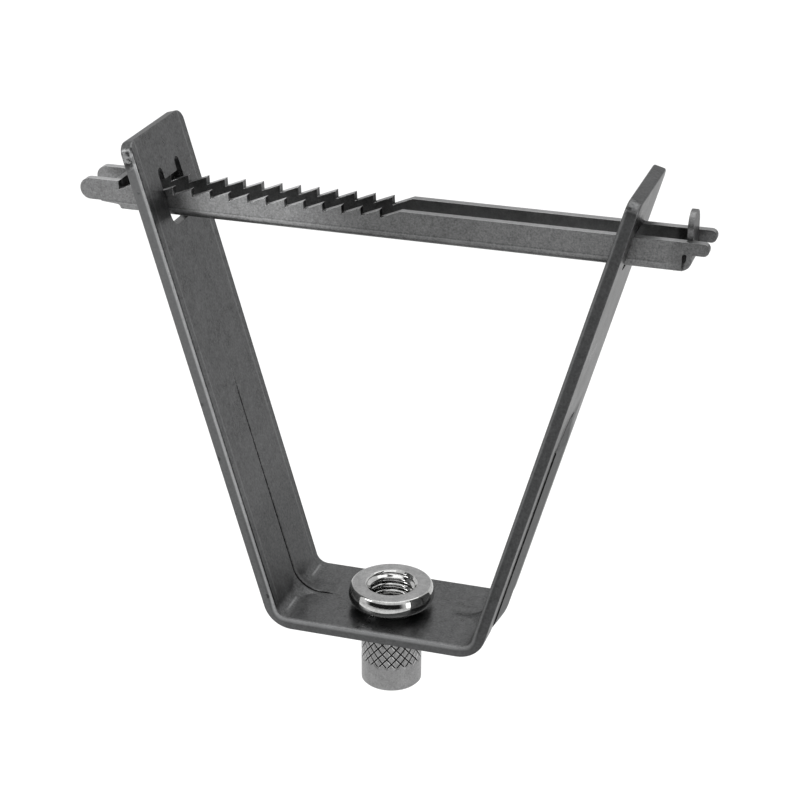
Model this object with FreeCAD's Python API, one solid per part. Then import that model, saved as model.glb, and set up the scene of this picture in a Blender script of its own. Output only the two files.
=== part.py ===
import FreeCAD, Part
import math
import os

from FreeCAD import Vector

os.makedirs("parts", exist_ok=True)

# Trapeze hanger for trapezoidal roof decking, in millimetres.
# The origin is on the nut's axis at the top face of the bracket's base. +X runs along the
# locking bar towards its upturned stop, +Z runs up the legs, and -Y is the front.

# Flat strip that the bracket is bent from
strip_width = 25.0
strip_thickness = 2.5
strip_edge_radius = 0.4

# Bends and legs, measured on the strip's inner face; the strip is bent slightly off its middle
base_width = 40.0
leg_length = 100.15
leg_offset = 0.75
leg_splay = 16.0
leg_corner_radius = 2.4
bend_inner_radius = 2.5
bend_outer_radius = 6.0

# Stiffening beads pressed through both bends, a roof-shaped ridge in a dent on the outside
ridge_half_width = 6.8
ridge_height = 0.88
ridge_crest_radius = 3.0
ridge_bend_radius = 9.3
ridge_base_fade = 4.0
foot_height = 0.27
foot_run = 0.25
dent_lift = 0.03
dent_flare = 0.45
dent_reach = 2.5

# Inside of the same beads, a hill across the bend with a thin crease along it
hill_half_width = 4.4
hill_crest_half = 0.8
hill_crest_radius = 1.5
hill_bend_radius = 6.3
hill_sink = 0.03
crease_half_width = 0.35
crease_depth = 0.4
crease_base_fade = 2.35
bead_leg_end = 50.0
bead_leg_fade = 5.5
bead_end_share = 0.25
bead_lead = 0.2

# Nut with a flange, a conical seat and a long gripped sleeve, thread M10 x 1.5
flange_radius = 8.8
flange_top = 4.8
flange_edge_radius = 0.7
sleeve_radius = 6.2
nut_length = 22.15
sleeve_end_chamfer = 0.4
bore_radius = 4.25
bore_lip_radius = 5.35
bore_lip_depth = 0.9

# How the nut seats in the base
nut_clearance = 0.1
seat_angle = 36.0
seat_depth = 0.35
seat_gap = 0.02

# Locking bar, a folded channel, heights measured from its underside and lengths from the
# outer face of the leg that each end passes
bar_sheet = 1.5
bar_half_width = 4.65
bar_height = 6.15
bar_bend_radius = 2.0
bar_below_leg_tops = 16.0

# Saw teeth in both upper edges of the bar
tooth_count = 15
tooth_pitch = 3.8
tooth_overhang = 8.54
tooth_peak = 6.05
tooth_valley = 4.5
tooth_draft = 0.08

# Round-nosed ears at the bar's left end
ear_overhang = 16.68
ear_bottom = 1.94
ear_step = 0.2
ear_step_back = 4.25
ear_root_bottom = 1.4
ear_root_radius = 0.5

# Fingers at the bar's right end
wall_overhang = 10.64
finger_length = 4.9
finger_bottom = 3.79
finger_nose_radius = 1.1
finger_root_radius = 0.4

# Both ends of the web bent up between the walls, drawn thinner by the bending; the right one
# stands higher as a stop
end_sheet = 1.1
end_outer_radius = 2.2
end_side_gap = 0.1
stop_set_out = 1.6
stop_height = 10.9
stop_tip_share = 0.95
tab_tip_radius = 0.3

# Openings in the legs that the bar passes through, with two slits above the left one that
# the teeth can be lifted into
bar_side_clearance = 0.35
bar_top_clearance = 0.14
tongue_side_clearance = 0.25
tongue_corner_radius = 0.3
left_drop = 1.85
left_corner_radius = 2.4
right_drop = 0.15
right_corner_radius = 1.5
lift_above_bar = 2.58

# Angles and places that follow from the sizes above
splay = math.radians(leg_splay)
bend_turn = math.pi / 2 - splay
corner_shift = strip_thickness * math.tan(bend_turn / 2)
leg_top = leg_length * math.cos(splay)
bar_underside = leg_top - bar_below_leg_tops
leg_face = base_width / 2 + bar_underside * math.tan(splay) + strip_thickness / math.cos(splay)
ear_end = -leg_face - ear_overhang
tooth_first_face = -leg_face - tooth_overhang
bar_wall_end = leg_face + wall_overhang
finger_end = bar_wall_end + finger_length
stop_outer_face = bar_wall_end + stop_set_out
tab_outer_face = tooth_first_face - end_sheet
base_way = Vector(1, 0, 0)
leg_way = Vector(math.sin(splay), 0, math.cos(splay))
across = Vector(0, 1, 0)
base_out = Vector(0, 0, -1)
leg_out = Vector(math.cos(splay), 0, -math.sin(splay))
overcut = 2.0
embed = 0.4


def corner_arc(before, corner, after, radius):
    # tangent arc that rounds the corner between two straight runs
    to_before = (before - corner).normalize()
    to_after = (after - corner).normalize()
    half_angle = to_before.getAngle(to_after) / 2
    set_back = radius / math.tan(half_angle)
    bisector = (to_before + to_after).normalize()
    centre = corner + bisector * (radius / math.sin(half_angle))
    start = corner + to_before * set_back
    end = corner + to_after * set_back
    return start, centre - bisector * radius, end


def rounded_wire(points, closed=True):
    # each point is (position, radius); straight runs joined by tangent arcs
    edges = []
    first = None
    last = None
    count = len(points)
    for i, (corner, radius) in enumerate(points):
        at_end = not closed and i in (0, count - 1)
        if radius > 0 and not at_end:
            before = points[i - 1][0]
            after = points[(i + 1) % count][0]
            start, middle, end = corner_arc(before, corner, after, radius)
        else:
            start, middle, end = corner, None, corner
        if last is not None and last.distanceToPoint(start) > 1e-6:
            edges.append(Part.LineSegment(last, start).toShape())
        if middle is not None:
            edges.append(Part.Arc(start, middle, end).toShape())
        if first is None:
            first = start
        last = end
    if closed and last.distanceToPoint(first) > 1e-6:
        edges.append(Part.LineSegment(last, first).toShape())
    return Part.Wire(edges)


def along_y(outline, low, high):
    # side outline of (x, z, radius) drawn at y = low and pushed back to y = high
    wire = rounded_wire([(Vector(x, low, z), r) for x, z, r in outline])
    return Part.Face(wire).extrude(Vector(0, high - low, 0))


def along_x(outline, low, high):
    # end outline of (y, z, radius) drawn at x = low and pushed to x = high
    wire = rounded_wire([(Vector(low, y, z), r) for y, z, r in outline])
    return Part.Face(wire).extrude(Vector(high - low, 0, 0))


def turned(outline):
    # half section of (radius, height, corner radius) turned about the Z axis
    wire = rounded_wire([(Vector(x, 0, z), r) for x, z, r in outline])
    return Part.Face(wire).revolve(Vector(0, 0, 0), Vector(0, 0, 1), 360)


def left_copy(shape):
    return shape.mirror(Vector(0, 0, 0), Vector(1, 0, 0))


def on_right_leg(shape):
    # upright shape, inner face at x = 0, laid onto the splayed right leg
    placed = shape.copy()
    placed.rotate(Vector(0, 0, 0), Vector(0, 1, 0), leg_splay)
    placed.translate(Vector(base_width / 2, 0, 0))
    return placed


def leg_point(along, outward):
    # point on the right leg, along it from the bend line and out from its inner face
    return Vector(base_width / 2, 0, 0) + leg_way * along + leg_out * outward


def leg_height_to_length(height, outward):
    # length along the leg at which a face of the leg reaches a height above the base
    return (height + outward * math.sin(splay)) / math.cos(splay)


# Bent strip, drawn in side view with its two bends
left_length = leg_length + leg_offset
right_length = leg_length - leg_offset
right_inner = leg_point(right_length, 0)
right_outer = leg_point(right_length, strip_thickness)
left_inner = leg_point(left_length, 0)
left_outer = leg_point(left_length, strip_thickness)
inner_corner = Vector(base_width / 2, 0, 0)
outer_corner = Vector(base_width / 2 + corner_shift, 0, -strip_thickness)
side_view = [
    (right_inner.x, right_inner.z, 0),
    (right_outer.x, right_outer.z, 0),
    (outer_corner.x, outer_corner.z, bend_outer_radius),
    (-outer_corner.x, outer_corner.z, bend_outer_radius),
    (-left_outer.x, left_outer.z, 0),
    (-left_inner.x, left_inner.z, 0),
    (-inner_corner.x, inner_corner.z, bend_inner_radius),
    (inner_corner.x, inner_corner.z, bend_inner_radius),
]
strip = along_y(side_view, -strip_width / 2, strip_width / 2)

# Rounded corners at the top of each leg
side_reach = 2 * (base_width + leg_length)


def leg_trim(length):
    outline = [
        (-strip_width / 2, -side_reach, 0),
        (strip_width / 2, -side_reach, 0),
        (strip_width / 2, length, leg_corner_radius),
        (-strip_width / 2, length, leg_corner_radius),
    ]
    return on_right_leg(along_x(outline, -side_reach, side_reach))


strip = strip.common(leg_trim(right_length))
strip = strip.common(left_copy(leg_trim(left_length)))


def crossing_angle(edge, shape):
    # angle between the two faces that meet along an edge
    faces = shape.ancestorsOfType(edge, Part.Face)
    if len(faces) < 2:
        return 0.0
    middle = edge.valueAt((edge.FirstParameter + edge.LastParameter) / 2)
    normals = []
    for face in faces[:2]:
        u, v = face.Surface.parameter(middle)
        normals.append(face.normalAt(u, v))
    return normals[0].getAngle(normals[1])


sharp = [e for e in strip.Edges if crossing_angle(e, strip) > math.radians(30)]
edge_radius = min(strip_edge_radius, 0.3 * strip_thickness)
strip = strip.makeFillet(edge_radius, sharp)


def bead_section(middle, out, half_width, profile):
    # cross section of a bead at a point of its path
    points = []
    for share, height, radius in profile:
        position = middle + across * (share * half_width) + out * height
        points.append((position, radius))
    return rounded_wire(points)


def ridge_profile(scale):
    foot = 1 - foot_run / ridge_half_width
    return [
        (-1, -embed, 0),
        (-1, 0, 0),
        (-foot, foot_height * scale, 0),
        (0, ridge_height * scale, ridge_crest_radius * scale),
        (foot, foot_height * scale, 0),
        (1, 0, 0),
        (1, -embed, 0),
    ]


def crease_profile(scale):
    return [
        (-1, -embed, 0),
        (-1, 0, 0),
        (0, crease_depth * scale, 0),
        (1, 0, 0),
        (1, -embed, 0),
    ]


def bend_arc(corner, radius):
    # start, middle and end of the arc that a bead follows round the bend
    return corner_arc(corner - base_way, corner, corner + leg_way, radius)


def bend_sweep(corner, radius, half_width, profile):
    # cross section carried round the bend only
    start, middle, end = bend_arc(corner, radius)
    path = Part.Wire([Part.Arc(start, middle, end).toShape()])
    section = bead_section(start, base_out, half_width, profile)
    return path.makePipeShell([section], True, False)


def bead_run(depth, corner, radius, half_width, profile, base_fade):
    # bead along the base, round the bend and up the leg, fading out at both ends
    base_full = bend_arc(corner, radius)[0] - base_way * bead_lead
    base_tip = base_full - base_way * base_fade
    leg_full = leg_point(bead_leg_end - bead_leg_fade, depth)
    leg_tip = leg_point(bead_leg_end, depth)
    path = rounded_wire([(base_full, 0), (corner, radius), (leg_full, 0)], False)
    full = bead_section(base_full, base_out, half_width, profile(1))
    run = path.makePipeShell([full], True, False)
    faint_width = half_width * bead_end_share
    faint = bead_section(base_tip, base_out, faint_width, profile(bead_end_share))
    base_end = Part.makeLoft([full, faint], True, True)
    full = bead_section(leg_full, leg_out, half_width, profile(1))
    faint = bead_section(leg_tip, leg_out, faint_width, profile(bead_end_share))
    leg_end = Part.makeLoft([full, faint], True, True)
    return run.fuse([base_end, leg_end]).removeSplitter()


# Outside of the beads, the dent first and the ridge standing in it
flare = dent_flare / ridge_half_width
dent_profile = [
    (-1, dent_lift, 0),
    (1, dent_lift, 0),
    (1 + flare, dent_reach, 0),
    (-1 - flare, dent_reach, 0),
]
dent = bend_sweep(outer_corner, ridge_bend_radius, ridge_half_width, dent_profile)
ridge = bead_run(
    strip_thickness,
    outer_corner,
    ridge_bend_radius,
    ridge_half_width,
    ridge_profile,
    ridge_base_fade,
)

# Inside of the beads, the hill across the bend and the crease that runs over it
corner_cut = 1 / math.cos(bend_turn / 2) - 1
hill_drop = max(hill_bend_radius - bend_inner_radius, 0) * corner_cut + embed
hill_crest = hill_crest_half / hill_half_width
hill_profile = [
    (-1, hill_sink + hill_drop, 0),
    (-hill_crest, hill_sink, hill_crest_radius),
    (hill_crest, hill_sink, hill_crest_radius),
    (1, hill_sink + hill_drop, 0),
]
hill = bend_sweep(inner_corner, hill_bend_radius, hill_half_width, hill_profile)
crease = bead_run(
    0,
    inner_corner,
    hill_bend_radius,
    crease_half_width,
    crease_profile,
    crease_base_fade,
)
strip = strip.cut([dent, left_copy(dent)])
strip = strip.fuse([ridge, left_copy(ridge), hill, left_copy(hill)])
strip = strip.cut([crease, left_copy(crease)])

# Left leg's opening, wide below for the bar, ending above in two slits beside a tongue
bar_top = bar_underside + bar_height
slit_outer = bar_half_width + bar_side_clearance
slit_inner = bar_half_width - bar_sheet - tongue_side_clearance
slit_radius = 0.49 * (slit_outer - slit_inner)
left_low = leg_height_to_length(bar_underside - left_drop, 0)
tongue_end = leg_height_to_length(bar_top + bar_top_clearance, strip_thickness)
slit_high = leg_height_to_length(bar_top + lift_above_bar, strip_thickness)
left_outline = [
    (-slit_outer, left_low, left_corner_radius),
    (slit_outer, left_low, left_corner_radius),
    (slit_outer, slit_high, slit_radius),
    (slit_inner, slit_high, slit_radius),
    (slit_inner, tongue_end, tongue_corner_radius),
    (-slit_inner, tongue_end, tongue_corner_radius),
    (-slit_inner, slit_high, slit_radius),
    (-slit_outer, slit_high, slit_radius),
]

# Right leg's opening, a close window
right_low = leg_height_to_length(bar_underside - right_drop, 0)
right_outline = [
    (-slit_outer, right_low, right_corner_radius),
    (slit_outer, right_low, right_corner_radius),
    (slit_outer, tongue_end, tongue_corner_radius),
    (-slit_outer, tongue_end, tongue_corner_radius),
]
left_opening = on_right_leg(along_x(left_outline, -overcut, strip_thickness + overcut))
right_opening = on_right_leg(along_x(right_outline, -overcut, strip_thickness + overcut))
strip = strip.cut([left_copy(left_opening), right_opening])

# Hole in the base with the coned seat for the nut
hole_radius = sleeve_radius + nut_clearance
seat_slope = math.tan(math.radians(seat_angle))
seat_radius = hole_radius + seat_depth / seat_slope
hole_outline = [
    (0, -strip_thickness - overcut, 0),
    (hole_radius, -strip_thickness - overcut, 0),
    (hole_radius, -seat_depth, 0),
    (seat_radius, 0, 0),
    (seat_radius, overcut, 0),
    (0, overcut, 0),
]
bracket = strip.cut(turned(hole_outline)).removeSplitter()

# Nut, turned in one piece; its cone rests in the base's seat
seat_rise = seat_gap / math.cos(math.radians(seat_angle))
cone_top = (flange_radius - seat_radius) * seat_slope + seat_rise
cone_bottom = (sleeve_radius - seat_radius) * seat_slope + seat_rise
nut_end = flange_top - nut_length
nut_outline = [
    (bore_radius, flange_top - bore_lip_depth, 0),
    (bore_lip_radius, flange_top, 0),
    (flange_radius, flange_top, flange_edge_radius),
    (flange_radius, cone_top, 0),
    (sleeve_radius, cone_bottom, 0),
    (sleeve_radius, nut_end + sleeve_end_chamfer, 0),
    (sleeve_radius - sleeve_end_chamfer, nut_end, 0),
    (bore_lip_radius, nut_end, 0),
    (bore_radius, nut_end + bore_lip_depth, 0),
]
knurled_nut = turned(nut_outline)

# Channel section of the locking bar
bar_inner_half = bar_half_width - bar_sheet
inner_bend_radius = bar_bend_radius - bar_sheet
channel_outline = [
    (-bar_half_width, bar_top, 0),
    (-bar_half_width, bar_underside, bar_bend_radius),
    (bar_half_width, bar_underside, bar_bend_radius),
    (bar_half_width, bar_top, 0),
    (bar_inner_half, bar_top, 0),
    (bar_inner_half, bar_underside + bar_sheet, inner_bend_radius),
    (-bar_inner_half, bar_underside + bar_sheet, inner_bend_radius),
    (-bar_inner_half, bar_top, 0),
]
channel = along_x(channel_outline, ear_end, finger_end)

# Side outline of both walls: fingers, plain edge, saw teeth and ears
ear_nose = 0.49 * (bar_height - ear_bottom)
finger_nose = min(finger_nose_radius, 0.48 * (bar_height - finger_bottom))
tooth_slope = (tooth_peak - tooth_valley) / (tooth_pitch - tooth_draft)
last_face = tooth_first_face + (tooth_count - 1) * tooth_pitch
plain_start = last_face + tooth_draft + (bar_height - tooth_valley) / tooth_slope
wall_outline = [
    (bar_wall_end, 0, 0),
    (bar_wall_end, finger_bottom, finger_root_radius),
    (finger_end, finger_bottom, finger_nose),
    (finger_end, bar_height, finger_nose),
    (plain_start, bar_height, 0),
]
for tooth in range(tooth_count - 1, 0, -1):
    face = tooth_first_face + tooth * tooth_pitch
    wall_outline.append((face + tooth_draft, tooth_valley, 0))
    wall_outline.append((face, tooth_peak, 0))
wall_outline += [
    (tooth_first_face + tooth_draft, tooth_valley, 0),
    (tooth_first_face, bar_height, 0),
    (ear_end, bar_height, ear_nose),
    (ear_end, ear_bottom, ear_nose),
    (ear_end + ear_step_back, ear_bottom, 0),
    (ear_end + ear_step_back + ear_step, ear_bottom - ear_step, 0),
    (tooth_first_face, ear_root_bottom, ear_root_radius),
    (tooth_first_face, 0, 0),
]
wall_outline = [(x, bar_underside + z, r) for x, z, r in wall_outline]
walls = along_y(wall_outline, -bar_half_width - overcut, bar_half_width + overcut)
bar = channel.common(walls)

# Bent-up ends of the web; side is 1 at the right end and -1 at the left end
end_run = 1.5 * end_outer_radius
end_half_width = bar_inner_half - end_side_gap


def web_clearing(outer_face, side):
    # room cut out of the channel between the walls for a bent-up end and whatever lies past it
    start = outer_face - side * end_run
    far = outer_face + side * (ear_overhang + finger_length)
    return Part.makeBox(
        abs(far - start),
        2 * bar_inner_half,
        bar_height + 2 * overcut,
        Vector(min(start, far), -bar_inner_half, bar_underside - overcut),
    )


def web_end(outer_face, side, height, tip_radius):
    # the web curves up to a flat end with a rounded tip
    start = outer_face - side * end_run
    inner_face = outer_face - side * end_sheet
    top = bar_underside + height
    view = [
        (start, bar_underside, 0),
        (outer_face, bar_underside, end_outer_radius),
        (outer_face, top, 0),
        (inner_face, top, 0),
        (inner_face, bar_underside + end_sheet, end_outer_radius - end_sheet),
        (start, bar_underside + bar_sheet, 0),
    ]
    outline = [
        (-end_half_width, bar_underside - overcut, 0),
        (end_half_width, bar_underside - overcut, 0),
        (end_half_width, top, tip_radius),
        (-end_half_width, top, tip_radius),
    ]
    low = min(start, outer_face) - overcut
    high = max(start, outer_face) + overcut
    return along_y(view, -end_half_width, end_half_width).common(along_x(outline, low, high))


stop = web_end(stop_outer_face, 1, stop_height, stop_tip_share * end_half_width)
tab = web_end(tab_outer_face, -1, bar_height, tab_tip_radius)
bar = bar.cut([web_clearing(stop_outer_face, 1), web_clearing(tab_outer_face, -1)])
locking_bar = bar.fuse([stop, tab]).removeSplitter()

nodes = {
    "bracket": bracket,
    "knurled_nut": knurled_nut,
    "locking_bar": locking_bar,
}
for name, shape in nodes.items():
    shape.exportStep("parts/" + name + ".step")
    print(name, round(shape.Volume, 1), len(shape.Solids), shape.isValid())
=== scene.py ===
import math
import bpy
import numpy as np
from mathutils import Euler, Matrix, Vector


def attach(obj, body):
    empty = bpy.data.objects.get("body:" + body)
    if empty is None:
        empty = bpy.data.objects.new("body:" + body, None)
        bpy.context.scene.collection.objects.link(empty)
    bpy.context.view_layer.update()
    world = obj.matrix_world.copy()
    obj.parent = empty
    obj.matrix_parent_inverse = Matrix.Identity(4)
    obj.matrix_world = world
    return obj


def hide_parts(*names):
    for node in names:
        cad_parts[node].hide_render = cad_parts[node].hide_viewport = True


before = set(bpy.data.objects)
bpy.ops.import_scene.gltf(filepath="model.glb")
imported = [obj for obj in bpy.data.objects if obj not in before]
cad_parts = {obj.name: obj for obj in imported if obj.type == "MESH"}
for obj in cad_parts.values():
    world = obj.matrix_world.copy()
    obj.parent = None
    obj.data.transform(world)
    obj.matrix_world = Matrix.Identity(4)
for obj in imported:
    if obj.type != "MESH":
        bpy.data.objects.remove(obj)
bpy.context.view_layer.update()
print("loaded the hanger:", ", ".join(sorted(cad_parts)))

mm = 0.001

cameraSpec = {
    "place": (0.11917, -0.36968, 0.22046),  # metres, fitted to the photograph
    "azimuth": 17.63, "elevation": 24.24, "roll": 0.174,  # degrees
    "lens": 97.76, "sensor": 36.0,  # millimetres
    "clip": (0.01, 50.0),  # metres
}


def makeCamera(spec):
    # looks along +Y turned by the azimuth and tipped down by the elevation, then rolled
    data = bpy.data.cameras.new("hangerCamera")
    data.lens, data.sensor_width = spec["lens"], spec["sensor"]
    data.clip_start, data.clip_end = spec["clip"]
    camera = bpy.data.objects.new("hangerCamera", data)
    bpy.context.scene.collection.objects.link(camera)
    aim = Euler((math.radians(90 - spec["elevation"]), 0, math.radians(spec["azimuth"])))
    turn = Matrix.Rotation(math.radians(spec["roll"]), 4, "Z")
    camera.matrix_world = Matrix.Translation(spec["place"]) @ aim.to_matrix().to_4x4() @ turn
    bpy.context.scene.camera = camera


makeCamera(cameraSpec)
print("camera placed")


def gridMesh(name, points, wrapRows=False, wrapColumns=False):
    # a grid of points (rows x columns x 3) joined into quads, closed round where it wraps
    rows, columns = points.shape[:2]
    index = np.arange(rows * columns).reshape(rows, columns)
    if wrapRows:
        index = np.concatenate([index, index[:1]], axis=0)
    if wrapColumns:
        index = np.concatenate([index, index[:, :1]], axis=1)
    corners = [index[:-1, :-1], index[:-1, 1:], index[1:, 1:], index[1:, :-1]]
    quads = np.stack(corners, axis=-1).reshape(-1, 4)
    mesh = bpy.data.meshes.new(name)
    mesh.vertices.add(rows * columns)
    mesh.vertices.foreach_set("co", points.reshape(-1).astype(np.float32))
    mesh.loops.add(quads.size)
    mesh.loops.foreach_set("vertex_index", quads.reshape(-1).astype(np.int32))
    mesh.polygons.add(len(quads))
    mesh.polygons.foreach_set("loop_start", (np.arange(len(quads)) * 4).astype(np.int32))
    mesh.polygons.foreach_set("use_smooth", np.ones(len(quads), dtype=bool))
    mesh.update(calc_edges=True)
    mesh.validate()
    piece = bpy.data.objects.new(name, mesh)
    bpy.context.scene.collection.objects.link(piece)
    return piece


# Small helpers for building node trees. A value given to one is a socket, a number or a tuple.

def plug(tree, value, socket):
    # a socket is linked, a number or a tuple is written in
    if isinstance(value, bpy.types.NodeSocket):
        tree.links.new(value, socket)
    else:
        socket.default_value = value


def plugAll(tree, node, values):
    # each value goes to the node's input of that title
    for title, value in values.items():
        plug(tree, value, node.inputs[title])


def calc(tree, operation, a, b=0.0):
    # one Math node on two values
    node = tree.nodes.new("ShaderNodeMath")
    node.operation = operation
    plug(tree, a, node.inputs[0])
    plug(tree, b, node.inputs[1])
    return node.outputs[0]


def product(tree, first, *others):
    # all the values multiplied together
    for value in others:
        first = calc(tree, "MULTIPLY", first, value)
    return first


def total(tree, first, *others):
    # all the values added together
    for value in others:
        first = calc(tree, "ADD", first, value)
    return first


def less(tree, first, *others):
    # the first value with the others taken away
    for value in others:
        first = calc(tree, "SUBTRACT", first, value)
    return first


def larger(tree, first, *others):
    # the largest of the values
    for value in others:
        first = calc(tree, "MAXIMUM", first, value)
    return first


def size(tree, value):
    # the value without its sign
    return calc(tree, "ABSOLUTE", value)


def ramp(tree, value, edges, ends=(0.0, 1.0)):
    # smooth step across two edges, from one end value to the other
    node = tree.nodes.new("ShaderNodeMapRange")
    node.interpolation_type = "SMOOTHSTEP"
    titles = ("Value", "From Min", "From Max", "To Min", "To Max")
    plugAll(tree, node, dict(zip(titles, (value, *edges, *ends))))
    return node.outputs["Result"]


def band(tree, value, middle, halfWidth, soft):
    # 1 within halfWidth of the middle, falling smoothly to 0 over soft
    away = size(tree, less(tree, value, middle))
    return ramp(tree, away, (halfWidth, halfWidth + soft), (1.0, 0.0))


def within(tree, spec, **values):
    # the overlap of smooth steps, each value across the edges that spec has under its name
    return product(tree, *[ramp(tree, value, spec[name]) for name, value in values.items()])


def blendValue(tree, mask, low, high):
    # low where the mask is 0, high where it is 1
    node = tree.nodes.new("ShaderNodeMix")
    node.data_type = "FLOAT"
    plug(tree, mask, node.inputs[0])
    plug(tree, low, node.inputs[2])
    plug(tree, high, node.inputs[3])
    return node.outputs[0]


def blendColour(tree, mask, low, high):
    # colour low where the mask is 0, colour high where it is 1
    node = tree.nodes.new("ShaderNodeMix")
    node.data_type = "RGBA"
    plug(tree, mask, node.inputs[0])
    plug(tree, low, node.inputs[6])
    plug(tree, high, node.inputs[7])
    return node.outputs[2]


def scaleColour(tree, colour, factor):
    # a colour times a value
    node = tree.nodes.new("ShaderNodeVectorMath")
    node.operation = "SCALE"
    plug(tree, colour, node.inputs[0])
    plug(tree, factor, node.inputs["Scale"])
    return node.outputs[0]


def noise(tree, vector, scale, detail, roughness):
    # noise between about 0.2 and 0.8 round a middle of 0.5
    node = tree.nodes.new("ShaderNodeTexNoise")
    plugAll(tree, node, {
        "Vector": vector, "Scale": scale, "Detail": detail, "Roughness": roughness})
    return node.outputs["Fac"]


def stretched(tree, vector, scale):
    # the coordinates stretched by a factor along each axis
    node = tree.nodes.new("ShaderNodeMapping")
    plugAll(tree, node, {"Vector": vector, "Scale": scale})
    return node.outputs[0]


def split(tree, vector):
    # the three parts of a vector
    node = tree.nodes.new("ShaderNodeSeparateXYZ")
    plug(tree, vector, node.inputs[0])
    return node.outputs


def axes(tree, vector):
    # x, y and z of the coordinates in millimetres
    return [calc(tree, "MULTIPLY", output, 1000.0) for output in split(tree, vector)]


def fromAxis(tree, x, y):
    # distance from the Z axis: the root of x squared plus y squared
    return calc(tree, "SQRT", total(tree, product(tree, x, x), product(tree, y, y)))


def newGroup(name, inputs, outputs):
    # an empty node group with its input and output sockets
    group = bpy.data.node_groups.new(name, "ShaderNodeTree")
    for title, kind, value in inputs:
        socket = group.interface.new_socket(title, in_out="INPUT", socket_type=kind)
        if value is not None:
            socket.default_value = value
    for title, kind in outputs:
        group.interface.new_socket(title, in_out="OUTPUT", socket_type=kind)
    return group, group.nodes.new("NodeGroupInput"), group.nodes.new("NodeGroupOutput")


def placeGroup(tree, group, values):
    # one use of a node group, with its inputs filled in
    node = tree.nodes.new("ShaderNodeGroup")
    node.node_tree = group
    plugAll(tree, node, values)
    return node


grainSpec = {
    "crystalNoise": (3.0, 0.65), "streakNoise": (3.0, 0.6),  # detail and roughness
    "cloudNoise": (4.0, 0.6),
    "middle": 0.5,  # the mean of every noise
    "toneShares": (0.70, 0.35, 0.20),  # of crystals, streaks and clouds
    "reliefShares": (0.7, 0.3),  # of crystals and streaks
    "dullShares": (0.6, 0.4),  # of clouds and streaks
}


def buildZincGrain(spec):
    # tone is 1 plus the contrast times fine crystals, streaks (specks, where every axis has the
    # same stretch) and broad clouds, each less its mean and times its share; relief and dullness
    # mix them anew
    group, inside, out = newGroup(
        "zincGrain",
        [("Vector", "NodeSocketVector", None), ("Streak Vector", "NodeSocketVector", None),
         ("Crystals", "NodeSocketFloat", 2600.0), ("Clouds", "NodeSocketFloat", 180.0),
         ("Contrast", "NodeSocketFloat", 1.0)],
        [("Tone", "NodeSocketFloat"), ("Relief", "NodeSocketFloat"),
         ("Dullness", "NodeSocketFloat")])
    given = inside.outputs
    crystals = noise(group, given["Vector"], given["Crystals"], *spec["crystalNoise"])
    streaks = noise(group, given["Streak Vector"], 1.0, *spec["streakNoise"])
    clouds = noise(group, given["Vector"], given["Clouds"], *spec["cloudNoise"])

    def mixed(kinds, shares, middle=0.0):
        # each kind less the middle, times its share, all added together
        return total(group, *[product(group, less(group, kind, middle), share)
                              for kind, share in zip(kinds, shares)])

    swing = mixed((crystals, streaks, clouds), spec["toneShares"], spec["middle"])
    tone = total(group, product(group, swing, given["Contrast"]), 1.0)
    group.links.new(tone, out.inputs["Tone"])
    group.links.new(mixed((crystals, streaks), spec["reliefShares"]), out.inputs["Relief"])
    dullness = less(group, mixed((clouds, streaks), spec["dullShares"]), spec["middle"])
    group.links.new(dullness, out.inputs["Dullness"])
    return group


edgeSheenSpec = {
    "samples": 6,
    "turned": (0.995, 0.86),  # cosine of the angle between the face and its rounded shading
    "breakupNoise": (3.0, 0.55), "breakup": (0.3, 0.6), "sheenAmount": (0.35, 1.0),
}


def buildEdgeSheen(spec):
    # rounds the shading over a radius; the mask grows with the angle that this turns the face, is
    # broken up by noise, and places a painted highlight on rounded edges
    group, inside, out = newGroup(
        "edgeSheen",
        [("Vector", "NodeSocketVector", None), ("Radius", "NodeSocketFloat", 0.0003),
         ("Breakup", "NodeSocketFloat", 900.0)],
        [("Mask", "NodeSocketFloat"), ("Normal", "NodeSocketVector")])
    bevel = group.nodes.new("ShaderNodeBevel")
    bevel.samples = spec["samples"]
    plug(group, inside.outputs["Radius"], bevel.inputs["Radius"])
    face = group.nodes.new("ShaderNodeNewGeometry")
    turn = group.nodes.new("ShaderNodeVectorMath")
    turn.operation = "DOT_PRODUCT"
    plug(group, bevel.outputs["Normal"], turn.inputs[0])
    plug(group, face.outputs["Normal"], turn.inputs[1])
    mask = ramp(group, turn.outputs["Value"], spec["turned"])
    spots = noise(group, inside.outputs["Vector"], inside.outputs["Breakup"], *spec["breakupNoise"])
    broken = ramp(group, spots, spec["breakup"], spec["sheenAmount"])
    group.links.new(product(group, mask, broken), out.inputs["Mask"])
    group.links.new(bevel.outputs["Normal"], out.inputs["Normal"])
    return group


zincGrain = buildZincGrain(grainSpec)
edgeSheen = buildEdgeSheen(edgeSheenSpec)
print("shared finishes built")


def startMaterial(name):
    # a new material: itself, its tree, its shader and its Object coordinates
    material = bpy.data.materials.new(name)
    material.use_nodes = True
    tree = material.node_tree
    coordinates = tree.nodes.new("ShaderNodeTexCoord").outputs["Object"]
    return material, tree, tree.nodes["Principled BSDF"], coordinates


def placeGrain(tree, place, spec):
    # the shared grain at this piece's own scales
    values = {"Vector": place, "Streak Vector": stretched(tree, place, spec["streaks"])}
    return placeGroup(tree, zincGrain, {**values, **spec["grain"]}).outputs


def reliefNormal(tree, height, relief, under):
    # the normal under it, tipped by the slope of the height; relief is distance and strength
    node = tree.nodes.new("ShaderNodeBump")
    distance, strength = relief
    plugAll(tree, node, {
        "Distance": distance, "Strength": strength, "Height": height, "Normal": under})
    return node.outputs["Normal"]


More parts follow.
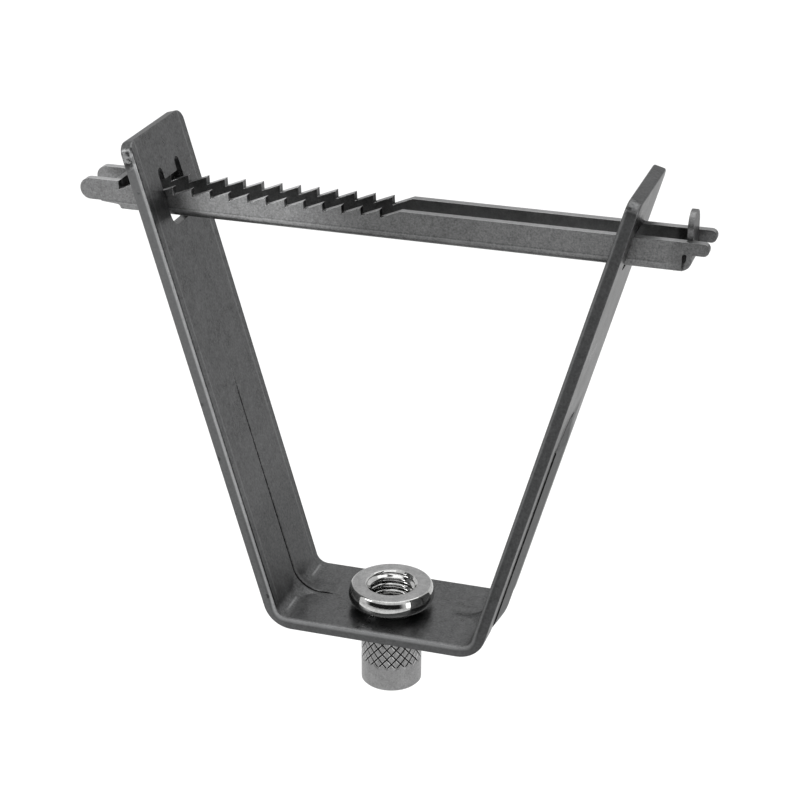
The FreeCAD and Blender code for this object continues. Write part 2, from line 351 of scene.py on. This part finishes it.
# A pair is where a mask is 0 and where it is 1, in millimetres, or else the two values that a
# tone or a width goes between. Three numbers are a line's middle, half width and softness.
bracketFinish = {
    "face": (0.112, 0.113, 0.114, 1), "edge": (0.084, 0.085, 0.086, 1),
    # sheen is the colour of the painted highlight on rounded edges
    "sheen": (0.30, 0.30, 0.30, 1), "grazing": (0.6, 0.6, 0.6, 1),
    "sheenShare": 0.35, "breakup": 700.0,
    "grain": {"Crystals": 2100.0, "Clouds": 150.0, "Contrast": 2.0}, "streaks": (700, 700, 700),
    "edgeGrain": 0.55, "leastTone": 0.06, "relief": (0.00003, 0.6), "carved": 2.0,
    "faceRoughness": 0.30, "edgeRoughness": 0.42, "grainRoughness": 0.3,
    "shadeRoughness": 0.35, "bendRoughness": 0.2, "beadRoughness": 0.12,

    # the strip's shape
    "splay": 16.0, "halfBase": 20.0, "bendRound": 3.8,
    "innerFace": (1.3, 0.9), "edgeFace": (12.25, 12.45),
    "leftLeg": (-17.0, -22.0), "rightLeg": (16.0, 22.0),

    # radii over which the shading is rounded, in metres, and where
    "plainRound": 0.00010, "edgeRound": 0.0009, "hillRound": 0.0008,
    "wideEdge": (9.8, 11.4), "wideEnd": (92.0, 88.0),
    "hillSide": (6.6, 5.4), "hillTop": (26.0, 18.0),

    # the sheared edge faces: a painted highlight along their rolled corner, painted light up the
    # left leg's edge face, painted shade on the right leg's
    "stripBase": 1.5, "stripLeft": 2.2, "stripRight": 0.8,
    "stripRise": (0.0, 5.0), "stripOut": (1.1, 0.75), "stripIn": (0.5, 0.35),
    "leftRise": (0.0, 95.0), "leftPaintedLight": (0.3, 0.75),
    "rightStart": (17.0, 24.0), "rightEdgeShade": 0.30,

    # a painted highlight line and a painted shade line along the rolled face of the legs
    "legStart": (0.8, 4.0), "line": (10.3, 0.12, 0.25), "lineHighlight": 0.4,
    "groove": (12.08, 0.10, 0.14), "grooveRise": (34.0, 14.0), "grooveDark": (0.5, 0.95),

    # painted shade in the crease inside the bead, painted shade round it at the right bend, and on
    # the flank of the bead's hill
    "crease": (0.0, 0.16, 0.24), "creaseEnd": (48.5, 40.5), "creaseStart": (11.6, 14.6),
    "leftToRight": (-5.0, 5.0), "creaseDark": (0.85, 0.15),
    "shade": (0.0, 0.6, 0.8), "shadeTop": (9.0, 5.0), "shadeDark": 0.1,
    "hillFoot": (6.0, 4.0), "hillLow": (5.0, 2.0), "hillLeft": (-12.0, -14.0), "hillShade": 0.18,

    # painted highlights across the left bend, and the duller zone of both bends
    "nearBendHighlight": ((-3.3, -4.6), (-9.9, -8.2)), "farBendHighlight": ((5.0, 6.6), (11.2, 10.0)),
    "bendHighlightAcross": (-19.2, 0.06, 0.24), "bendHighlightShare": 0.8,
    "bendSide": (15.5, 18.0), "bendTop": (26.0, 16.0),

    # the bead's ridge on the outer face, darkened as painted shade, with a painted shade line along
    # its foot
    "outerFace": (1.6, 2.3), "ridgeTop": (50.0, 46.0), "ridgeSide": (6.77, 6.67), "beadShadeShare": 0.12,
    "foot": (6.72, 0.10, 0.12), "footShade": 0.9,

    # pits in the left leg's edge face, and the torn patch at its top front corner
    "pitNoise": (700.0, 2.0, 0.5), "pits": (0.675, 0.72), "pitDark": 0.7,
    "tornTop": (91.0, 93.0), "tornLeft": (-40.0, -44.0),
    "tornNoise": (1100.0, 3.0, 0.6), "torn": (0.42, 0.6), "tornTone": (-1.3, 1.8),
}


def depthInStrip(tree, spec, x, z):
    # distance below the inner face: of the base it is -z, of a leg it is across the splayed leg;
    # the two are joined by a smooth maximum round the bend
    lean = math.radians(spec["splay"])
    out = less(tree, size(tree, x), spec["halfBase"])
    leg = less(tree, product(tree, out, math.cos(lean)), product(tree, z, math.sin(lean)))
    joined = tree.nodes.new("ShaderNodeMath")
    joined.operation = "SMOOTH_MAX"
    plug(tree, leg, joined.inputs[0])
    plug(tree, product(tree, z, -1.0), joined.inputs[1])
    plug(tree, spec["bendRound"], joined.inputs[2])
    return joined.outputs[0]


def bracketPlaces(tree, spec, place):
    # x, y, z, |x|, |y| and the depth, with masks of the inner face, the edge faces and each leg
    x, y, z = axes(tree, place)
    at = {"x": x, "y": y, "z": z, "side": size(tree, x), "reach": size(tree, y)}
    at["depth"] = depthInStrip(tree, spec, x, z)
    at["inner"] = ramp(tree, at["depth"], spec["innerFace"])
    at["edgeFace"] = ramp(tree, at["reach"], spec["edgeFace"])
    at["onLeft"] = ramp(tree, x, spec["leftLeg"])
    at["onRight"] = ramp(tree, x, spec["rightLeg"])
    return at


def edgeLightAndShade(tree, spec, at):
    # a painted highlight along the rolled corner, brightest on the left leg and plain on the right,
    # plus painted light up the left leg's edge face, less painted shade on the right leg's edge
    # face
    lift = blendValue(tree, at["onLeft"], spec["stripBase"], spec["stripLeft"])
    lift = blendValue(tree, at["onRight"], lift, spec["stripRight"])
    outer = ramp(tree, at["z"], spec["stripRise"], spec["stripOut"])
    nearer = ramp(tree, at["z"], spec["stripRise"], spec["stripIn"])
    cornerHighlight = product(tree, ramp(tree, at["depth"], (outer, nearer)), at["edgeFace"], lift)
    climb = ramp(tree, at["z"], spec["leftRise"], spec["leftPaintedLight"])
    left = product(tree, at["onLeft"], at["edgeFace"], climb)
    onRight = ramp(tree, at["x"], spec["rightStart"])
    right = product(tree, onRight, at["edgeFace"], spec["rightEdgeShade"])
    return less(tree, total(tree, cornerHighlight, left), right)


def legLinesLightAndShade(tree, spec, at):
    # a painted highlight line less a painted shade line along each edge of a leg's inner face
    dark = ramp(tree, at["z"], spec["grooveRise"], spec["grooveDark"])
    groove = product(tree, band(tree, at["reach"], *spec["groove"]), dark)
    line = product(tree, band(tree, at["reach"], *spec["line"]), spec["lineHighlight"])
    onLeg = ramp(tree, at["z"], spec["legStart"])
    return product(tree, less(tree, line, groove), at["inner"], onLeg)


def creaseMasks(tree, spec, at):
    # painted shade in the crease along the bead's middle, inside, faint at the right bend, and
    # painted shade round it there
    onRun = within(tree, spec, creaseEnd=at["z"], creaseStart=at["side"])
    run = product(tree, onRun, at["inner"])
    toRight = ramp(tree, at["x"], spec["leftToRight"])
    dark = blendValue(tree, toRight, *spec["creaseDark"])
    crease = product(tree, band(tree, at["y"], *spec["crease"]), run, dark)
    low = ramp(tree, at["z"], spec["shadeTop"])
    shade = product(tree, band(tree, at["y"], *spec["shade"]), run, low, toRight)
    return crease, shade


def bendLightAndShade(tree, spec, at):
    # painted highlights across the left bend, one on each side of the bead, less painted shade on
    # its hill's flank
    bendHighlights = [product(tree, ramp(tree, at["y"], start), ramp(tree, at["y"], end))
            for start, end in (spec["nearBendHighlight"], spec["farBendHighlight"])]
    across = band(tree, at["x"], *spec["bendHighlightAcross"])
    sheen = product(tree, total(tree, *bendHighlights), across, at["inner"], spec["bendHighlightShare"])
    onFlank = within(tree, spec, hillFoot=at["reach"], hillLow=at["z"], hillLeft=at["x"])
    flankShade = product(tree, onFlank, at["inner"], spec["hillShade"])
    return less(tree, sheen, flankShade)


def beadShadeMasks(tree, spec, at):
    # outside, the whole bead is duller and darker as painted shade, and a painted shade line runs
    # along its foot
    onBead = within(tree, spec, outerFace=at["depth"], ridgeTop=at["z"])
    dull = product(tree, ramp(tree, at["reach"], spec["ridgeSide"]), onBead)
    foot = product(tree, band(tree, at["reach"], *spec["foot"]), spec["footShade"], onBead)
    return larger(tree, product(tree, dull, spec["beadShadeShare"]), foot), dull


def shearMasks(tree, spec, at, place):
    # noise cut off high makes pits; at the corner a steep ramp of noise makes dark and light tears
    spots = ramp(tree, noise(tree, place, *spec["pitNoise"]), spec["pits"])
    pits = product(tree, spots, at["edgeFace"], at["onLeft"], spec["pitDark"])
    atCorner = within(tree, spec, tornTop=at["z"], tornLeft=at["x"])
    tears = ramp(tree, noise(tree, place, *spec["tornNoise"]), spec["torn"], spec["tornTone"])
    return pits, product(tree, tears, at["edgeFace"], atCorner)


def makeBracketFinish(spec):
    # colour of the face or the edge, with a painted highlight at rounded edges, times a tone that
    # starts at 1 and gains or loses the grain, painted light and shade on the edge faces, legs and
    # left bend, painted shade of the crease and the ridge, the pits and the tears
    material, tree, shader, place = startMaterial("bracketZinc")
    at = bracketPlaces(tree, spec, place)
    grain = placeGrain(tree, place, spec)

    # the shading is rounded widely at the long inner edges and over the bead's hill in the bend
    nearEdge = within(tree, spec, wideEdge=at["reach"], wideEnd=at["z"])
    wide = product(tree, nearEdge, at["inner"])
    onHill = within(tree, spec, hillSide=at["reach"], hillTop=at["z"])
    hill = product(tree, onHill, at["inner"])
    radius = blendValue(tree, wide, spec["plainRound"], spec["edgeRound"])
    radius = blendValue(tree, hill, radius, spec["hillRound"])
    sheen = placeGroup(tree, edgeSheen, {
        "Vector": place, "Radius": radius, "Breakup": spec["breakup"]}).outputs
    # a painted highlight on the rounded inner edges, kept off the hill
    sheenAmount = product(tree, sheen["Mask"], less(tree, 1.0, hill), at["inner"], spec["sheenShare"])
    colour = blendColour(tree, at["edgeFace"], spec["face"], spec["edge"])
    colour = blendColour(tree, sheenAmount, colour, spec["sheen"])

    crease, shade = creaseMasks(tree, spec, at)
    beadShade, dull = beadShadeMasks(tree, spec, at)
    pits, torn = shearMasks(tree, spec, at, place)
    calm = blendValue(tree, at["edgeFace"], 1.0, spec["edgeGrain"])  # weaker on sheared edges
    speckle = product(tree, less(tree, grain["Tone"], 1.0), calm)
    # painted highlights and painted light add to the tone; painted shade takes from it
    tone = total(tree, 1.0, speckle, torn, edgeLightAndShade(tree, spec, at),
                 legLinesLightAndShade(tree, spec, at), bendLightAndShade(tree, spec, at))
    tone = less(tree, tone, crease, beadShade, product(tree, shade, spec["shadeDark"]), pits)
    tone = larger(tree, tone, spec["leastTone"])

    inBend = within(tree, spec, bendSide=at["side"], bendTop=at["z"])
    bend = product(tree, inBend, at["inner"])
    plain = blendValue(tree, at["edgeFace"], spec["faceRoughness"], spec["edgeRoughness"])
    roughness = total(tree, plain, product(tree, grain["Dullness"], spec["grainRoughness"]),
                      product(tree, shade, spec["shadeRoughness"]),
                      product(tree, bend, spec["bendRoughness"]),
                      product(tree, dull, spec["beadRoughness"]))
    height = less(tree, grain["Relief"], product(tree, total(tree, pits, crease), spec["carved"]))
    plugAll(tree, shader, {
        "Base Color": scaleColour(tree, colour, tone), "Metallic": 1.0, "Roughness": roughness,
        "Specular Tint": spec["grazing"],
        "Normal": reliefNormal(tree, height, spec["relief"], sheen["Normal"])})
    return material


barFinish = {
    # sheen is the colour of the painted highlight on rounded edges
    "wall": (0.205, 0.206, 0.207, 1), "sheen": (0.34, 0.34, 0.34, 1), "grazing": (0.6, 0.6, 0.6, 1),
    "sheenShare": 0.5, "breakup": 1100.0, "round": 0.00016,  # the radius is in metres
    "grain": {"Crystals": 2600.0, "Clouds": 260.0, "Contrast": 2.2}, "streaks": (900, 900, 900),
    "roughness": 0.36, "grainRoughness": 0.3, "relief": (0.00003, 0.4), "leastTone": 0.12,

    # where the web's bend starts: a painted highlight line, and a painted shade line above it
    "wallEnd": (54.0, 53.0), "webBendHighlight": (81.95, 0.08, 0.12), "webBendHighlightShare": 0.12,
    "webBendShade": (82.25, 0.08, 0.12), "webBendShadeShare": 0.22,

    # painted shade along the bar: dark at mid length, painted light towards both ends
    "middle": (-26.0, 0.0), "middleShade": (0.0, 0.42),
    "rightHalf": (5.0, 35.0), "rightPaintedLight": (0.0, 0.14),
    "leftStart": (-40.0, -34.0), "leftEnd": (-6.0, -20.0), "leftPaintedLight": 0.3,

    # painted light inside the channel, up to the teeth and beyond them
    "inside": (3.3, 3.2), "innerWall": (3.2, 0.04, 0.05), "upright": (0.5, 0.8),
    "troughEnd": (54.5, 53.5), "pastTeeth": (-6.0, 6.0), "troughLight": (0.2, 1.45),

    # the fingers darker, painted shade on the inner walls at the fingers and the ears and on the
    # teeth's steep faces, and painted light on the walls' upward-facing top edges; facing and
    # upright are parts of the face's normal
    "fingerStart": (53.5, 56.0), "fingerSide": (3.0, 3.15), "fingerDark": 0.15,
    "fingerInner": (54.5, 55.5), "earInner": (-50.0, -52.0), "innerWallShade": 0.05,
    "facingRight": (0.8, 0.95), "toothFoot": (82.0, 82.5),
    "toothSide": (3.25, 3.4), "toothEnd": (6.0, 4.0), "steepShade": 0.6,
    "facingUp": (0.6, 0.8), "topStart": (83.5, 84.0), "topSide": (3.1, 3.2), "upFacingLight": 1.3,
}


def barDarkness(tree, spec, x, y, z, facing):
    # the share of the tone that is taken away: painted shade at mid length, less a painted light
    # patch at the left and a painted light lift to the right, plus darker fingers and painted shade
    # on the inner walls at both ends and the steep tooth faces
    reach = size(tree, y)
    outside = less(tree, 1.0, ramp(tree, reach, spec["inside"]))
    innerWall = band(tree, reach, *spec["innerWall"])
    left = product(tree, within(tree, spec, leftStart=x, leftEnd=x), outside, spec["leftPaintedLight"])
    dark = less(tree, ramp(tree, x, spec["middle"], spec["middleShade"]), left,
                ramp(tree, x, spec["rightHalf"], spec["rightPaintedLight"]))
    onFinger = within(tree, spec, fingerStart=x, fingerSide=reach)
    fingers = product(tree, onFinger, spec["fingerDark"])
    ends = [product(tree, innerWall, ramp(tree, x, spec[end]), spec["innerWallShade"])
            for end in ("fingerInner", "earInner")]
    onSteep = within(tree, spec, facingRight=facing["X"], toothFoot=z, toothSide=reach, toothEnd=x)
    return total(tree, dark, fingers, *ends, product(tree, onSteep, spec["steepShade"]))


def makeBarFinish(spec):
    # wall colour with a painted highlight at its rounded edges, times a tone: the grain plus a
    # painted highlight line, painted light in the trough and on the upward-facing top edges, less a
    # painted shade line, all times what the darkness leaves
    material, tree, shader, place = startMaterial("barZinc")
    x, y, z = axes(tree, place)
    facing = split(tree, tree.nodes.new("ShaderNodeTexCoord").outputs["Normal"])
    grain = placeGrain(tree, place, spec)
    sheen = placeGroup(tree, edgeSheen, {
        "Vector": place, "Radius": spec["round"], "Breakup": spec["breakup"]}).outputs
    # a painted highlight on the rounded edges
    sheenAmount = product(tree, sheen["Mask"], spec["sheenShare"])
    colour = blendColour(tree, sheenAmount, spec["wall"], spec["sheen"])
    onWall = ramp(tree, x, spec["wallEnd"])
    light = product(tree, band(tree, z, *spec["webBendHighlight"]), spec["webBendHighlightShare"], onWall)
    above = product(tree, band(tree, z, *spec["webBendShade"]), spec["webBendShadeShare"], onWall)
    reach = size(tree, y)
    inTrough = within(tree, spec, inside=reach, upright=size(tree, facing["Y"]), troughEnd=x)
    litTrough = product(tree, inTrough, ramp(tree, x, spec["pastTeeth"], spec["troughLight"]))
    onTop = within(tree, spec, facingUp=facing["Z"], topStart=z, topSide=reach)
    top = product(tree, onTop, spec["upFacingLight"])
    tone = less(tree, total(tree, grain["Tone"], light, litTrough, top), above)
    tone = product(tree, tone, less(tree, 1.0, barDarkness(tree, spec, x, y, z, facing)))
    tone = larger(tree, tone, spec["leastTone"])
    dullness = product(tree, grain["Dullness"], spec["grainRoughness"])
    plugAll(tree, shader, {
        "Base Color": scaleColour(tree, colour, tone), "Metallic": 1.0,
        "Roughness": total(tree, spec["roughness"], dullness), "Specular Tint": spec["grazing"],
        "Normal": reliefNormal(tree, grain["Relief"], spec["relief"], sheen["Normal"])})
    return material


nutFinish = {
    "bright": (0.46, 0.46, 0.455, 1), "flat": (0.285, 0.285, 0.285, 1),
    "sleeve": (0.232, 0.232, 0.232, 1),
    # groove is painted shade in the knurl's grooves; the groove wall colour is a painted glint
    "groove": (0.015, 0.015, 0.015, 1), "grooveWallGlint": (0.42, 0.42, 0.42, 1),
    "grain": {"Crystals": 3000.0, "Clouds": 300.0, "Contrast": 1.4}, "streaks": (600, 600, 600),
    "brightRoughness": 0.08, "flatRoughness": 0.38, "sleeveRoughness": 0.42, "grainRoughness": 0.2,
    "topFace": (4.74, 4.79), "topEdge": (8.25, 8.10),
    "belowFlange": (0.3, -0.3), "outsideBore": (5.3, 5.5), "knurlEnd": (-13.5, -13.0),
    "wallDepth": (6.18, 6.14), "wallEnd": (-12.2, -11.4), "cutDepth": (6.08, 6.02),
    "turning": 55.0, "ringHeight": 0.3,  # radians per millimetre, and height as a share of relief
    "relief": (0.00002, 0.3),
}


def makeNutFinish(spec):
    # distance from the axis and height tell the turned top, the polished side, sleeve and thread;
    # the knurl's groove walls get a painted glint and its groove bottoms painted shade; the top's
    # fine rings are the sine of the distance
    material, tree, shader, place = startMaterial("nutZinc")
    x, y, z = axes(tree, place)
    away = fromAxis(tree, x, y)
    grain = placeGrain(tree, place, spec)
    top = within(tree, spec, topFace=z, topEdge=away)
    sleeve = within(tree, spec, belowFlange=z, outsideBore=away)
    knurled = product(tree, sleeve, ramp(tree, z, spec["knurlEnd"]))
    wall = product(tree, within(tree, spec, wallDepth=away, wallEnd=z), knurled)
    cut = product(tree, ramp(tree, away, spec["cutDepth"]), knurled)
    colour = spec["bright"]
    for mask, name in ((top, "flat"), (sleeve, "sleeve"), (wall, "grooveWallGlint"), (cut, "groove")):
        colour = blendColour(tree, mask, colour, spec[name])
    worked = larger(tree, top, sleeve)
    roughness = blendValue(tree, top, spec["brightRoughness"], spec["flatRoughness"])
    roughness = blendValue(tree, sleeve, roughness, spec["sleeveRoughness"])
    dullness = product(tree, grain["Dullness"], worked, spec["grainRoughness"])
    wave = calc(tree, "SINE", product(tree, away, spec["turning"]))
    rings = product(tree, wave, spec["ringHeight"], top)
    height = total(tree, product(tree, grain["Relief"], worked), rings)
    face = tree.nodes.new("ShaderNodeNewGeometry").outputs["Normal"]
    plugAll(tree, shader, {
        "Base Color": scaleColour(tree, colour, grain["Tone"]), "Metallic": 1.0,
        "Roughness": total(tree, roughness, dullness),
        "Normal": reliefNormal(tree, height, spec["relief"], face)})
    return material


def dress(node, material):
    # the CAD node keeps its mesh and only gets the material
    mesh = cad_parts[node].data
    mesh.materials.clear()
    mesh.materials.append(material)


nutZinc = makeNutFinish(nutFinish)
dress("bracket", makeBracketFinish(bracketFinish))
dress("locking_bar", makeBarFinish(barFinish))
dress("knurled_nut", nutZinc)
print("materials assigned")

# Millimetres and degrees. The side's share of the way down goes with the tilt of its normal.
nutSpec = {
    "flangeRadius": 8.8, "flangeTop": 4.8, "flatRings": 5, "sideSamples": 41,
    "sideShare": (0, 0.13, 0.22, 0.48, 0.72, 1.0), "sideTilt": (88, 30, 20, 12, -10, -42),
    "sideFall": 3.73,
    "coneBottom": -0.40, "sleeveStart": -0.45,
    "sleeveRadius": 6.2, "sleeveEnd": -17.35, "endChamfer": 0.4, "endLip": 0.02,
    "knurlTop": -2.6, "knurlEnd": -12.4, "knurlCount": 20, "knurlRise": 2.2, "rowsPerRise": 16,
    "knurlDepth": 0.3, "knurlWidth": 0.2, "knurlFade": 0.7,
    "lipRadius": 5.35, "lipDepth": 0.95, "crestRadius": 4.2, "rootRadius": 5.02,
    "pitch": 1.5, "flankSteepness": 1.35, "crestShare": 0.15, "boreRows": 200, "samplesRound": 320,
}


def nutProfile(spec):
    # half section as (radius, height): a flat top, then a barrel side whose normal tips from
    # straight up to below the horizon; radius and height are running sums of its sine and cosine
    share = np.linspace(0, 1, spec["sideSamples"])
    tilt = np.radians(np.interp((share[1:] + share[:-1]) / 2, spec["sideShare"], spec["sideTilt"]))
    step = spec["sideFall"] / np.cos(tilt).sum()
    outward = np.concatenate([[0], np.cumsum(np.sin(tilt))]) * step
    downward = np.concatenate([[0], np.cumsum(np.cos(tilt))]) * step
    start = spec["flangeRadius"] - outward.max()
    flat = np.linspace(spec["lipRadius"], start, spec["flatRings"] + 1)[:-1]
    flatPart = np.stack([flat, np.full(len(flat), spec["flangeTop"])], 1)
    sidePart = np.stack([start + outward, spec["flangeTop"] - downward], 1)
    foot = np.array([[spec["sleeveRadius"], spec["coneBottom"]]])
    return np.concatenate([flatPart, sidePart, foot])


def knurlDepthAt(spec, angle, height):
    # two families of helical V grooves crossing into diamonds; depth fades out at both ends
    turns = spec["knurlCount"] * angle / (2 * np.pi)
    climb = height / spec["knurlRise"]
    left = np.abs((turns + climb + 0.5) % 1.0 - 0.5)
    right = np.abs((turns - climb + 0.5) % 1.0 - 0.5)
    groove = np.clip(1 - np.minimum(left, right) / spec["knurlWidth"], 0, 1)
    upper = np.clip((spec["knurlTop"] - height) / spec["knurlFade"], 0, 1)
    lower = np.clip((height - spec["knurlEnd"]) / spec["knurlFade"], 0, 1)
    return spec["knurlDepth"] * groove * np.minimum(upper, lower)


def threadRadiusAt(spec, angle, height):
    # right-hand helix: a V between crest and root radius, flat at both, opened by lead-in cones
    phase = (height / spec["pitch"] - angle / (2 * np.pi)) % 1.0
    rise = (0.5 - np.abs(phase - 0.5)) * 2 * spec["flankSteepness"] - spec["crestShare"]
    radius = spec["crestRadius"] + (spec["rootRadius"] - spec["crestRadius"]) * np.clip(rise, 0, 1)
    slope = (spec["lipRadius"] - spec["crestRadius"]) / spec["lipDepth"]
    upperCone = spec["lipRadius"] - slope * (spec["flangeTop"] - height)
    lowerCone = spec["lipRadius"] - slope * (height - spec["sleeveEnd"])
    return np.maximum(radius, np.maximum(upperCone, lowerCone))


def makeNut(spec):
    # one closed surface turned about Z: outline rows, knurled sleeve rows, end, threaded bore rows
    angle = np.arange(spec["samplesRound"]) / spec["samplesRound"] * 2 * np.pi
    outline = nutProfile(spec)[1:]  # its first point is the bore's last row
    sleeveLow = spec["sleeveEnd"] + spec["endChamfer"]
    rises = (spec["sleeveStart"] - sleeveLow) / spec["knurlRise"]
    sleeve = np.linspace(spec["sleeveStart"], sleeveLow, int(round(rises * spec["rowsPerRise"])))
    end = [spec["sleeveRadius"] - spec["endChamfer"], spec["lipRadius"] + spec["endLip"]]
    bore = np.linspace(spec["sleeveEnd"], spec["flangeTop"], spec["boreRows"])

    # the height of every row, then the radius of every point on it
    rows = np.concatenate([outline[:, 1], sleeve, np.full(len(end), spec["sleeveEnd"]), bore])
    turned, height = np.meshgrid(angle, rows)
    sleeveRows = slice(len(outline), len(outline) + len(sleeve))
    boreRows = slice(len(rows) - len(bore), None)
    radius = np.empty_like(height)
    radius[:len(outline)] = outline[:, :1]
    cut = knurlDepthAt(spec, turned[sleeveRows], height[sleeveRows])
    radius[sleeveRows] = spec["sleeveRadius"] - cut
    radius[sleeveRows.stop:boreRows.start] = np.array(end)[:, None]
    radius[boreRows] = threadRadiusAt(spec, turned[boreRows], height[boreRows])
    points = np.stack([radius * np.cos(turned), radius * np.sin(turned), height], -1) * mm
    return gridMesh("threadedNut", points[:, ::-1], wrapRows=True, wrapColumns=True)


nut = makeNut(nutSpec)
nut.data.materials.append(nutZinc)
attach(nut, "nut")
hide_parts("knurled_nut")
print("nut made:", len(nut.data.polygons), "quads")

studio = {
    "floorHeight": -0.16, "floorSize": 8.0,  # metres
    "floorColour": (0.92, 0.92, 0.92, 1), "floorRoughness": 0.9, "floorLift": 0.08,
    "farFrom": (500.0, 2500.0), "farLift": (0.0, 0.6),  # millimetres, where the lamps' light fades
    "sky": (0.80, 0.80, 0.80, 1), "white": (1, 1, 1, 1), "frontGap": (0.02, 0.02, 0.02, 1),
    "gapFront": (-0.55, -0.8), "gapLow": (0.34, 0.22),  # parts of the direction
}


def seenAsWhite(tree):
    # 1 where a ray comes from the camera, off metal or through glass, and 1 for the camera alone
    rays = tree.nodes.new("ShaderNodeLightPath").outputs
    seen = larger(tree, rays["Is Camera Ray"], rays["Is Glossy Ray"], rays["Is Transmission Ray"])
    return seen, rays["Is Camera Ray"]


def makeFloor(spec):
    # a pale square; its glow is a small lift where it is seen as white, and more far off
    half = spec["floorSize"] / 2
    outline = ((-half, -half), (half, -half), (half, half), (-half, half))
    corners = [(*corner, spec["floorHeight"]) for corner in outline]
    mesh = bpy.data.meshes.new("floor")
    mesh.from_pydata(corners, [], [(0, 1, 2, 3)])
    floor = bpy.data.objects.new("floor", mesh)
    bpy.context.scene.collection.objects.link(floor)
    material, tree, shader, place = startMaterial("paleFloor")
    seen, byCamera = seenAsWhite(tree)
    x, y = axes(tree, place)[:2]
    near = product(tree, seen, spec["floorLift"])
    far = ramp(tree, fromAxis(tree, x, y), spec["farFrom"], spec["farLift"])
    plugAll(tree, shader, {
        "Base Color": spec["floorColour"], "Roughness": spec["floorRoughness"],
        "Emission Color": spec["white"],
        "Emission Strength": total(tree, near, product(tree, far, byCamera))})
    mesh.materials.append(material)


def makeWorld(spec):
    # a pale tent all round, with a dark gap low in front where a camera would stand
    world = bpy.data.worlds.new("studioWorld")
    bpy.context.scene.world = world
    world.use_nodes = True
    tree = world.node_tree
    toward = split(tree, tree.nodes.new("ShaderNodeTexCoord").outputs["Generated"])
    seen, byCamera = seenAsWhite(tree)
    inGap = within(tree, spec, gapFront=toward["Y"], gapLow=toward["Z"])
    gap = product(tree, inGap, less(tree, 1.0, byCamera))
    tent = blendColour(tree, seen, spec["sky"], spec["white"])
    plugAll(tree, tree.nodes["Background"], {
        "Color": blendColour(tree, gap, tent, spec["frontGap"]), "Strength": 1.0})


lamps = {  # metres and watts
    "frontSoftbox": {
        "place": (-0.82, -0.67, 0.58), "aimAt": (0, 0, 0.04), "size": (0.35, 0.35), "power": 3.0},
    "rightSoftbox": {
        "place": (1.05, -0.42, 0.12), "aimAt": (0, 0, 0.05), "size": (0.5, 0.4), "power": 1.3},
    "topSoftbox": {
        "place": (0.1, 0.2, 1.5), "aimAt": (0, 0, 0), "size": (1.6, 1.6), "power": 10.0},
}


def areaLamp(name, spec):
    # a rectangular lamp whose -Z looks from its place to the point that it is aimed at
    data = bpy.data.lights.new(name, "AREA")
    data.shape = "RECTANGLE"
    data.size, data.size_y = spec["size"]
    data.energy = spec["power"]
    lamp = bpy.data.objects.new(name, data)
    bpy.context.scene.collection.objects.link(lamp)
    turn = (Vector(spec["aimAt"]) - Vector(spec["place"])).to_track_quat("-Z", "Y")
    lamp.matrix_world = Matrix.Translation(spec["place"]) @ turn.to_matrix().to_4x4()


makeFloor(studio)
makeWorld(studio)
for lampName, lampSpec in lamps.items():
    areaLamp(lampName, lampSpec)

bpy.context.scene.view_settings.view_transform = "Standard"
print("studio lit")
